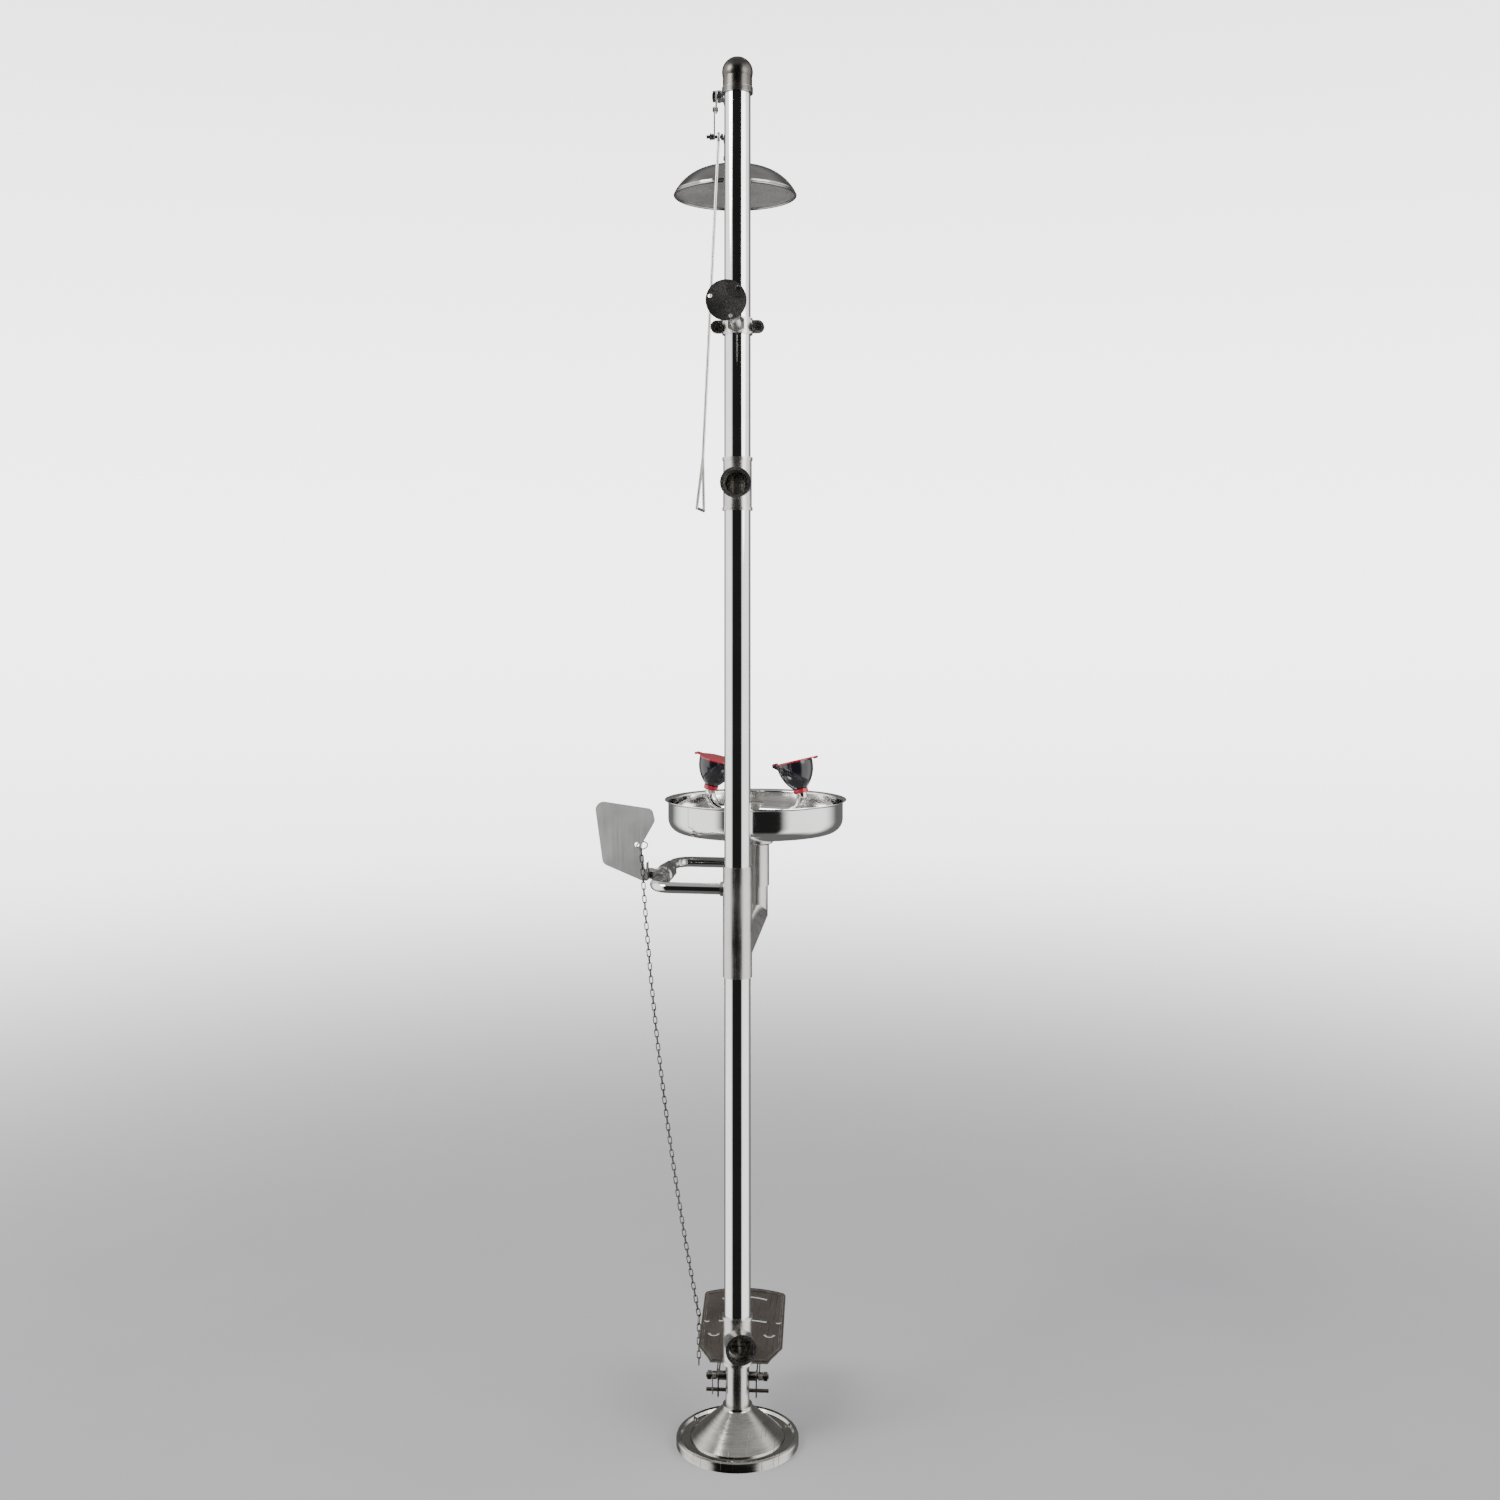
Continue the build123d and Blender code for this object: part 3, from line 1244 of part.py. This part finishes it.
def write_brace():
    place = Rot(0, 0, brace_turn) * Pos(0, 0, brace_z)
    nut, sleeve, flange = brace_outer()
    save("clamp_halves", group(place * half for half in clamp_halves()))
    save("clamp_fasteners", group(place * piece for piece in clamp_fasteners()))
    save("brace_rod", place * brace_rod())
    save("brace_lock_nut", place * nut)
    save("brace_tube", place * sleeve)
    save("wall_flange", place * flange)


def main():
    os.makedirs("parts", exist_ok=True)
    write_base_and_column()
    shower_seats, shower_packing = write_shower()
    eyewash_seats, eyewash_packing = write_eyewash()
    save("valve_seats", group(shower_seats + eyewash_seats))
    save("packing_nuts", group([shower_packing, eyewash_packing]))
    write_nozzles()
    write_treadle()
    write_brace()


main()
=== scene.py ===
import json
import math

import bpy
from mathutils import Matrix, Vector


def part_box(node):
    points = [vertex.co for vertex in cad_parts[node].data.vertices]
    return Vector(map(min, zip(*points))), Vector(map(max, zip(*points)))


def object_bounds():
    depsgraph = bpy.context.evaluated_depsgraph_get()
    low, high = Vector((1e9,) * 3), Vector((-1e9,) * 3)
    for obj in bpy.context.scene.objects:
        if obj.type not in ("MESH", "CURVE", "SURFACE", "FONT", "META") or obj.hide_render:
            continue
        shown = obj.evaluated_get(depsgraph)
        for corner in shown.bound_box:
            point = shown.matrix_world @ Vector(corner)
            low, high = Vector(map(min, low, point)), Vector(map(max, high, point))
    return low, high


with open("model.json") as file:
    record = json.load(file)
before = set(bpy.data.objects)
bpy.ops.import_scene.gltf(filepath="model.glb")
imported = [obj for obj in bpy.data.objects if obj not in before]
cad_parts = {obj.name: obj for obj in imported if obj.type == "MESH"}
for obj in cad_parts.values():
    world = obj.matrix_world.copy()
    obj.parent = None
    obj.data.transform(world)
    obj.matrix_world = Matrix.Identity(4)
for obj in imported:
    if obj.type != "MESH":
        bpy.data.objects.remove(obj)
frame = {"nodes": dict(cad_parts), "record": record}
cad_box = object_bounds()

# ---------------------------------------------------------------- camera and surroundings, metres and degrees
CAMERA_PLACE = (0.4183, -2.6634, 1.347)
CAMERA_TURN = 8.5
CAMERA_LENS = 40.44
CAMERA_SHIFT = -0.1

BACKGROUND_LOW = (0.75, 0.75, 0.78)
BACKGROUND_LEVEL = (4.40, 4.42, 4.48)
BACKGROUND_HIGH = (2.60, 2.60, 2.62)
STUDIO_BRIGHT = 1.9
STUDIO_DARK = 0.015
STUDIO_BEHIND = 0.16
STUDIO_ABOVE = 0.45
STUDIO_BELOW = 0.16
DARK_TURN = -5.0          # the dark side of the studio, against the camera's direction
DARK_HALF_WIDTH = 44.0
DARK_SOFTNESS = 9.0

FLOOR_RADIUS = 20.0
FLOOR_FADE_START = 0.5
FLOOR_FADE_END = 6.5
FLOOR_COLOUR = (0.60, 0.60, 0.62)

# Heights of a direction, where 0 is level, 1 straight up and -1 straight down.
HORIZON_FADE_LOW = (-0.45, 0.0)
HORIZON_FADE_HIGH = (0.0, 0.5)
CEILING_FADE = (0.55, 0.85)
GROUND_FADE = (-0.85, -0.55)
BEHIND_FADE = (-0.75, -0.25)     # cosines of the angle from the middle of the dark side

FLOOR_SIDES = 96
FLOOR_MOTTLE_SCALE = 3.0
FLOOR_MOTTLE_LIFT = 1.03
FLOOR_ROUGHNESS = 0.75

# Each light's name, place, size in metres and power in watts.
KEY_LIGHT = ("key", (-2.2, -1.6, 3.2), 1.6, 60.0)
FILL_LIGHT = ("fill", (2.4, -1.2, 2.4), 2.0, 30.0)

# ---------------------------------------------------------------- places on the object, from the frame
bowl_low, bowl_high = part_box("eyewash_bowl")
BOWL_CENTRE = ((bowl_low[0] + bowl_high[0]) / 2, (bowl_low[1] + bowl_high[1]) / 2, 0.0)
dome_low, dome_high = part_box("shower_dome")
HEAD_CENTRE = ((dome_low[0] + dome_high[0]) / 2, (dome_low[1] + dome_high[1]) / 2, 0.0)
COLUMN_CENTRE = (0.0, 0.0, 0.0)
LIGHT_AIM = (0.0, 0.0, (cad_box[0][2] + cad_box[1][2]) / 2)

# How many streaks of grain there are per metre along X, Y and Z.
GRAIN_UP = (900.0, 900.0, 9.0)
GRAIN_ROUND = (14.0, 14.0, 1400.0)
GRAIN_ALONG_Y = (900.0, 12.0, 900.0)
GRAIN_CAST = (700.0, 700.0, 700.0)

# ---------------------------------------------------------------- wear and marks, the same on every metal
WORN_STEEL = (0.86, 0.86, 0.85)
WEAR_FACING = (0.80, 0.99)       # how far the softened and the true surface still agree
WEAR_PATCH_SCALE = 90.0
SMUDGE_SCALE = 14.0
STREAK_SHARE = 0.45
SMUDGE_SHARE = 0.55
SCRATCH_SCALE = 420.0
SCRATCH_THINNESS = 0.03
SCRATCH_TURNS = ((0.3, 0.5, 0.8), (0.9, -0.4, 2.1), (-0.6, 0.2, 1.4))
SCRATCH_EDGE = (0.70, 0.74)
SCRATCH_TINT = 0.45
SCRATCH_ROUGHNESS = 0.2
SCRATCH_DEPTH = 1.4
METAL_BUMP = 0.5

PLASTIC_FLOW = (18.0, 18.0, 60.0)
PLASTIC_EDGE = 0.0008
PLASTIC_WEAR = 0.4
PLASTIC_SKIN_DEPTH = 0.00004
PLASTIC_BUMP = 0.25
COAT_ROUGHNESS = 0.06


# ---------------------------------------------------------------- node helpers
class Nodes:
    """Builds one node tree: a call adds a node, sets its sockets and returns it."""

    def __init__(self, tree):
        self.tree = tree

    def add(self, kind, sockets=None, **settings):
        node = self.tree.nodes.new(kind)
        for key, value in settings.items():
            setattr(node, key, value)
        for key, value in (sockets or {}).items():
            if isinstance(value, bpy.types.NodeSocket):
                self.tree.links.new(value, node.inputs[key])
            else:
                node.inputs[key].default_value = value
        return node

    def maths(self, operation, first, second=0.5, clamp=False):
        node = self.add("ShaderNodeMath", {0: first, 1: second}, operation=operation, use_clamp=clamp)
        return node.outputs[0]

    def vector(self, operation, first, second=(0.0, 0.0, 0.0), output=0):
        node = self.add("ShaderNodeVectorMath", {0: first, 1: second}, operation=operation)
        return node.outputs[output]

    def blend(self, share, low, high):
        node = self.add("ShaderNodeMix", data_type="RGBA")
        for socket, value in ((0, share), (6, low), (7, high)):
            if isinstance(value, bpy.types.NodeSocket):
                self.tree.links.new(value, node.inputs[socket])
            elif socket == 0:
                node.inputs[0].default_value = value
            else:
                node.inputs[socket].default_value = (*value, 1.0)
        return node.outputs[2]

    def between(self, value, from_low, from_high, to_low, to_high):
        sockets = {0: value, 1: from_low, 2: from_high, 3: to_low, 4: to_high}
        node = self.add("ShaderNodeMapRange", sockets)
        node.interpolation_type = "SMOOTHSTEP"
        return node.outputs[0]

    def noise(self, place, scale, detail=3.0, rough=0.55):
        sockets = {"Vector": place, "Scale": scale, "Detail": detail, "Roughness": rough}
        return self.add("ShaderNodeTexNoise", sockets).outputs["Fac"]

    def object_place(self):
        return self.add("ShaderNodeTexCoord").outputs["Object"]

    def stretched(self, place, scale, turn=(0.0, 0.0, 0.0)):
        mapping = self.add("ShaderNodeMapping", {"Vector": place, "Scale": scale, "Rotation": turn})
        return mapping.outputs[0]

    def turned_about(self, place, centre, streaks):
        """Coordinates that run out from a vertical axis, for spun and turned metal."""
        out = self.vector("SUBTRACT", place, centre)
        split = self.add("ShaderNodeSeparateXYZ", {0: out})
        flat = self.add("ShaderNodeCombineXYZ", {0: split.outputs[0], 1: split.outputs[1], 2: 0.0})
        radius = self.vector("LENGTH", flat.outputs[0], output=1)
        around = self.maths("ARCTAN2", split.outputs[1], split.outputs[0])
        sockets = {
            0: self.maths("MULTIPLY", radius, streaks),
            1: self.maths("MULTIPLY", split.outputs[2], streaks),
            2: self.maths("MULTIPLY", around, 2.0),
        }
        return self.add("ShaderNodeCombineXYZ", sockets).outputs[0]


def edge_wear(nodes, radius):
    """0 on flat metal and 1 on the edges, broken up by noise."""
    soft = nodes.add("ShaderNodeBevel", {"Radius": radius}, samples=4).outputs[0]
    sharp = nodes.add("ShaderNodeNewGeometry").outputs["Normal"]
    facing = nodes.vector("DOT_PRODUCT", soft, sharp, output=1)
    edge = nodes.between(facing, *WEAR_FACING, 1.0, 0.0)
    patches = nodes.noise(nodes.object_place(), WEAR_PATCH_SCALE, 4.0)
    return nodes.maths("MULTIPLY", edge, nodes.between(patches, 0.35, 0.6, 0.25, 1.0))


def scratches(nodes, place, scale):
    """1 on a few thin, long lines that cross at several angles."""
    total = None
    stretch = (scale, scale * SCRATCH_THINNESS, scale * SCRATCH_THINNESS)
    for turn in SCRATCH_TURNS:
        lines = nodes.noise(nodes.stretched(place, stretch, turn), 1.0, 1.0)
        line = nodes.between(lines, *SCRATCH_EDGE, 0.0, 1.0)
        total = line if total is None else nodes.maths("MAXIMUM", total, line)
    return total


def start_material(name):
    material = bpy.data.materials.new(name)
    material.use_nodes = True
    nodes = Nodes(material.node_tree)
    shader = material.node_tree.nodes["Principled BSDF"]
    return material, nodes, shader


def put(nodes, shader, name, value):
    nodes.tree.links.new(value, shader.inputs[name])


def bumped(nodes, height, depth, strength):
    sockets = {"Height": height, "Distance": depth, "Strength": strength}
    return nodes.add("ShaderNodeBump", sockets).outputs[0]


# ---------------------------------------------------------------- materials
def metal(name, dark, light, smooth, rough, grain, depth, wear=0.6, marks=0.0, spun=None, edge=0.0012):
    """Steel with a grain, smudges and handling marks, and brighter worn edges."""
    material, nodes, shader = start_material(name)
    place = nodes.object_place()
    if spun is None:
        streaks = nodes.noise(nodes.stretched(place, grain), 1.0, 3.0)
    else:
        streaks = nodes.noise(nodes.turned_about(place, spun, grain[2]), 1.0, 3.0)
    smudges = nodes.noise(place, SMUDGE_SCALE, 5.0, 0.6)
    share = nodes.maths("ADD", nodes.maths("MULTIPLY", streaks, STREAK_SHARE),
                        nodes.maths("MULTIPLY", smudges, SMUDGE_SHARE))
    share = nodes.between(share, 0.30, 0.70, 0.0, 1.0)
    colour = nodes.blend(share, dark, light)
    roughness = nodes.between(share, 0.0, 1.0, smooth, rough)
    height = streaks
    if marks:
        lines = scratches(nodes, place, SCRATCH_SCALE)
        tint = tuple(c * SCRATCH_TINT for c in dark)
        colour = nodes.blend(nodes.maths("MULTIPLY", lines, marks), colour, tint)
        rougher = nodes.maths("MULTIPLY", lines, SCRATCH_ROUGHNESS)
        roughness = nodes.maths("ADD", roughness, rougher, clamp=True)
        height = nodes.maths("SUBTRACT", height, nodes.maths("MULTIPLY", lines, SCRATCH_DEPTH))
    if wear:
        edges = nodes.maths("MULTIPLY", edge_wear(nodes, edge), wear)
        colour = nodes.blend(edges, colour, WORN_STEEL)
    shader.inputs["Metallic"].default_value = 1.0
    put(nodes, shader, "Base Color", colour)
    put(nodes, shader, "Roughness", roughness)
    put(nodes, shader, "Normal", bumped(nodes, height, depth, METAL_BUMP))
    return material


def plastic(name, dark, light, smooth, rough, worn, coat=0.3, grain=600.0):
    """Moulded plastic with a fine skin, faint flow marks and rubbed edges."""
    material, nodes, shader = start_material(name)
    place = nodes.object_place()
    flow = nodes.noise(nodes.stretched(place, PLASTIC_FLOW), 1.0, 4.0)
    skin = nodes.noise(place, grain, 2.0)
    colour = nodes.blend(nodes.between(flow, 0.35, 0.65, 0.0, 1.0), dark, light)
    edges = nodes.maths("MULTIPLY", edge_wear(nodes, PLASTIC_EDGE), PLASTIC_WEAR)
    shader.inputs["Coat Weight"].default_value = coat
    shader.inputs["Coat Roughness"].default_value = COAT_ROUGHNESS
    put(nodes, shader, "Base Color", nodes.blend(edges, colour, worn))
    put(nodes, shader, "Roughness", nodes.between(flow, 0.3, 0.7, smooth, rough))
    put(nodes, shader, "Normal", bumped(nodes, skin, PLASTIC_SKIN_DEPTH, PLASTIC_BUMP))
    return material


def make_materials():
    """One material for each slot in the record."""
    return {
        "polished_pipe": metal("polished_pipe", (0.80, 0.80, 0.79), (0.90, 0.90, 0.89), 0.03, 0.10,
                               GRAIN_UP, 0.000004, wear=0.0),
        "polished_bowl": metal("polished_bowl", (0.80, 0.79, 0.77), (0.90, 0.89, 0.88), 0.05, 0.13,
                               GRAIN_ROUND, 0.000006, wear=0.3, spun=BOWL_CENTRE),
        "brushed_steel": metal("brushed_steel", (0.50, 0.49, 0.47), (0.70, 0.69, 0.67), 0.22, 0.38,
                               GRAIN_UP, 0.00003),
        "cast_fitting": metal("cast_fitting", (0.50, 0.49, 0.46), (0.68, 0.67, 0.64), 0.20, 0.36,
                              GRAIN_CAST, 0.00005, wear=0.8),
        "elbow_steel": metal("elbow_steel", (0.08, 0.075, 0.068), (0.17, 0.16, 0.145), 0.24, 0.38,
                             GRAIN_CAST, 0.00005, wear=0.6),
        "valve_steel": metal("valve_steel", (0.48, 0.46, 0.43), (0.66, 0.64, 0.61), 0.18, 0.32,
                             GRAIN_CAST, 0.00004, wear=0.8),
        "base_steel": metal("base_steel", (0.34, 0.33, 0.30), (0.60, 0.59, 0.55), 0.10, 0.20,
                            GRAIN_ROUND, 0.00004, wear=0.9, marks=0.7, spun=COLUMN_CENTRE),
        "lever_steel": metal("lever_steel", (0.62, 0.62, 0.61), (0.80, 0.79, 0.78), 0.56, 0.70,
                             GRAIN_UP, 0.00003, wear=0.4),
        "treadle_steel": metal("treadle_steel", (0.12, 0.105, 0.09), (0.24, 0.215, 0.19), 0.28, 0.46,
                               GRAIN_ALONG_Y, 0.00004, wear=0.8, marks=0.6),
        "fastener_steel": metal("fastener_steel", (0.13, 0.12, 0.11), (0.28, 0.265, 0.245), 0.20, 0.36,
                                GRAIN_CAST, 0.00003, wear=0.8, edge=0.0006),
        "chain_steel": metal("chain_steel", (0.08, 0.075, 0.07), (0.21, 0.20, 0.185), 0.16, 0.34,
                             GRAIN_CAST, 0.00002, wear=0.0),
        "head_steel": metal("head_steel", (0.26, 0.25, 0.24), (0.44, 0.43, 0.41), 0.08, 0.18,
                            GRAIN_ROUND, 0.00003, wear=0.5, spun=HEAD_CENTRE),
        "face_steel": metal("face_steel", (0.78, 0.77, 0.75), (0.90, 0.89, 0.87), 0.50, 0.62,
                            GRAIN_ROUND, 0.00003, wear=0.5, spun=HEAD_CENTRE, edge=0.0005),
        "disc_steel": metal("disc_steel", (0.62, 0.61, 0.59), (0.7, 0.7, 0.69), 0.3, 0.4,
                            GRAIN_CAST, 0.00003),
        "black_plastic": plastic("black_plastic", (0.012, 0.012, 0.018), (0.022, 0.021, 0.030),
                                 0.10, 0.22, (0.06, 0.06, 0.07), coat=0.6),
        "screen_plastic": plastic("screen_plastic", (0.66, 0.67, 0.67), (0.76, 0.77, 0.77), 0.35, 0.5,
                                  (0.6, 0.6, 0.6), coat=0.0),
        "red_plastic": plastic("red_plastic", (0.46, 0.012, 0.035), (0.60, 0.022, 0.050), 0.16, 0.28,
                               (0.70, 0.16, 0.18), coat=0.5),
        "seal_rubber": plastic("seal_rubber", (0.015, 0.015, 0.015), (0.035, 0.035, 0.035), 0.6, 0.8,
                               (0.07, 0.07, 0.07), coat=0.0),
        "seat_plastic": plastic("seat_plastic", (0.78, 0.78, 0.75), (0.86, 0.86, 0.84), 0.4, 0.5,
                                (0.8, 0.8, 0.8), coat=0.0),
    }


def dress_nodes(materials):
    for part in frame["record"]["subparts"]:
        node = frame["nodes"][part["node"]]
        for slot in node.material_slots:
            slot.material = materials[part["material_slot"]]


# ---------------------------------------------------------------- floor, world, lights, camera
def add_floor():
    """A pale disc that fades out, and that polished steel doesn't reflect."""
    angles = [k * math.tau / FLOOR_SIDES for k in range(FLOOR_SIDES)]
    corners = [(math.cos(a) * FLOOR_RADIUS, math.sin(a) * FLOOR_RADIUS, 0.0) for a in angles]
    mesh = bpy.data.meshes.new("floor")
    mesh.from_pydata(corners, [], [list(range(FLOOR_SIDES))])
    floor = bpy.data.objects.new("floor", mesh)
    bpy.context.collection.objects.link(floor)
    material, nodes, shader = start_material("floor")
    place = nodes.object_place()
    distance = nodes.vector("LENGTH", place, output=1)
    fade = nodes.between(distance, FLOOR_FADE_START, FLOOR_FADE_END, 0.0, 1.0)
    mottle = nodes.between(nodes.noise(place, FLOOR_MOTTLE_SCALE), 0.3, 0.7, 0.0, 1.0)
    lighter = tuple(c * FLOOR_MOTTLE_LIFT for c in FLOOR_COLOUR)
    put(nodes, shader, "Base Color", nodes.blend(mottle, FLOOR_COLOUR, lighter))
    shader.inputs["Roughness"].default_value = FLOOR_ROUGHNESS
    clear = nodes.add("ShaderNodeBsdfTransparent").outputs[0]
    mix = nodes.add("ShaderNodeMixShader", {0: fade, 1: shader.outputs[0], 2: clear})
    nodes.tree.links.new(mix.outputs[0], nodes.tree.nodes["Material Output"].inputs["Surface"])
    mesh.materials.append(material)
    floor.visible_glossy = False


def add_world():
    """What the steel reflects has one dark side, which a polished pipe shows as a stripe.

    What the camera sees behind the object is a separate, paler background.
    """
    world = bpy.data.worlds.new("studio")
    world.use_nodes = True
    bpy.context.scene.world = world
    nodes = Nodes(world.node_tree)
    background = world.node_tree.nodes["Background"]
    direction = nodes.add("ShaderNodeTexCoord").outputs["Generated"]
    height = nodes.add("ShaderNodeSeparateXYZ", {0: direction}).outputs[2]
    low = nodes.between(height, *HORIZON_FADE_LOW, 0.0, 1.0)
    high = nodes.between(height, *HORIZON_FADE_HIGH, 0.0, 1.0)
    seen = nodes.blend(high, nodes.blend(low, BACKGROUND_LOW, BACKGROUND_LEVEL), BACKGROUND_HIGH)
    level = nodes.vector("MULTIPLY", direction, (1.0, 1.0, 0.0))
    turn = math.radians(CAMERA_TURN + DARK_TURN)
    dark_way = (math.sin(turn), -math.cos(turn), 0.0)
    towards = nodes.vector("DOT_PRODUCT", nodes.vector("NORMALIZE", level), dark_way, output=1)
    wide = math.cos(math.radians(DARK_HALF_WIDTH + DARK_SOFTNESS))
    narrow = math.cos(math.radians(DARK_HALF_WIDTH - DARK_SOFTNESS))
    dark = nodes.between(towards, wide, narrow, 0.0, 1.0)
    behind = nodes.between(towards, *BEHIND_FADE, 1.0, 0.0)
    around = nodes.blend(behind, (STUDIO_BRIGHT,) * 3, (STUDIO_BEHIND,) * 3)
    around = nodes.blend(dark, around, (STUDIO_DARK,) * 3)
    above = nodes.between(height, *CEILING_FADE, 0.0, 1.0)
    around = nodes.blend(above, around, (STUDIO_ABOVE,) * 3)
    below = nodes.between(height, *GROUND_FADE, 1.0, 0.0)
    studio = nodes.blend(below, around, (STUDIO_BELOW,) * 3)
    camera_ray = nodes.add("ShaderNodeLightPath").outputs["Is Camera Ray"]
    nodes.tree.links.new(nodes.blend(camera_ray, studio, seen), background.inputs[0])


def add_light(name, place, size, power):
    light = bpy.data.lights.new(name, "AREA")
    light.shape = "DISK"
    light.size = size
    light.energy = power
    holder = bpy.data.objects.new(name, light)
    bpy.context.collection.objects.link(holder)
    holder.location = place
    way = [a - b for a, b in zip(LIGHT_AIM, place)]
    flat = math.hypot(way[0], way[1])
    holder.rotation_euler = (math.atan2(flat, -way[2]), 0.0, math.atan2(way[1], way[0]) - math.pi / 2)


def add_camera():
    camera = bpy.data.cameras.new("camera")
    camera.sensor_width = 36.0
    camera.lens = CAMERA_LENS
    camera.shift_y = CAMERA_SHIFT
    holder = bpy.data.objects.new("camera", camera)
    bpy.context.collection.objects.link(holder)
    holder.location = CAMERA_PLACE
    holder.rotation_euler = (math.radians(90.0), 0.0, math.radians(CAMERA_TURN))
    bpy.context.scene.camera = holder


add_camera()
dress_nodes(make_materials())
add_floor()
add_world()
add_light(*KEY_LIGHT)
add_light(*FILL_LIGHT)
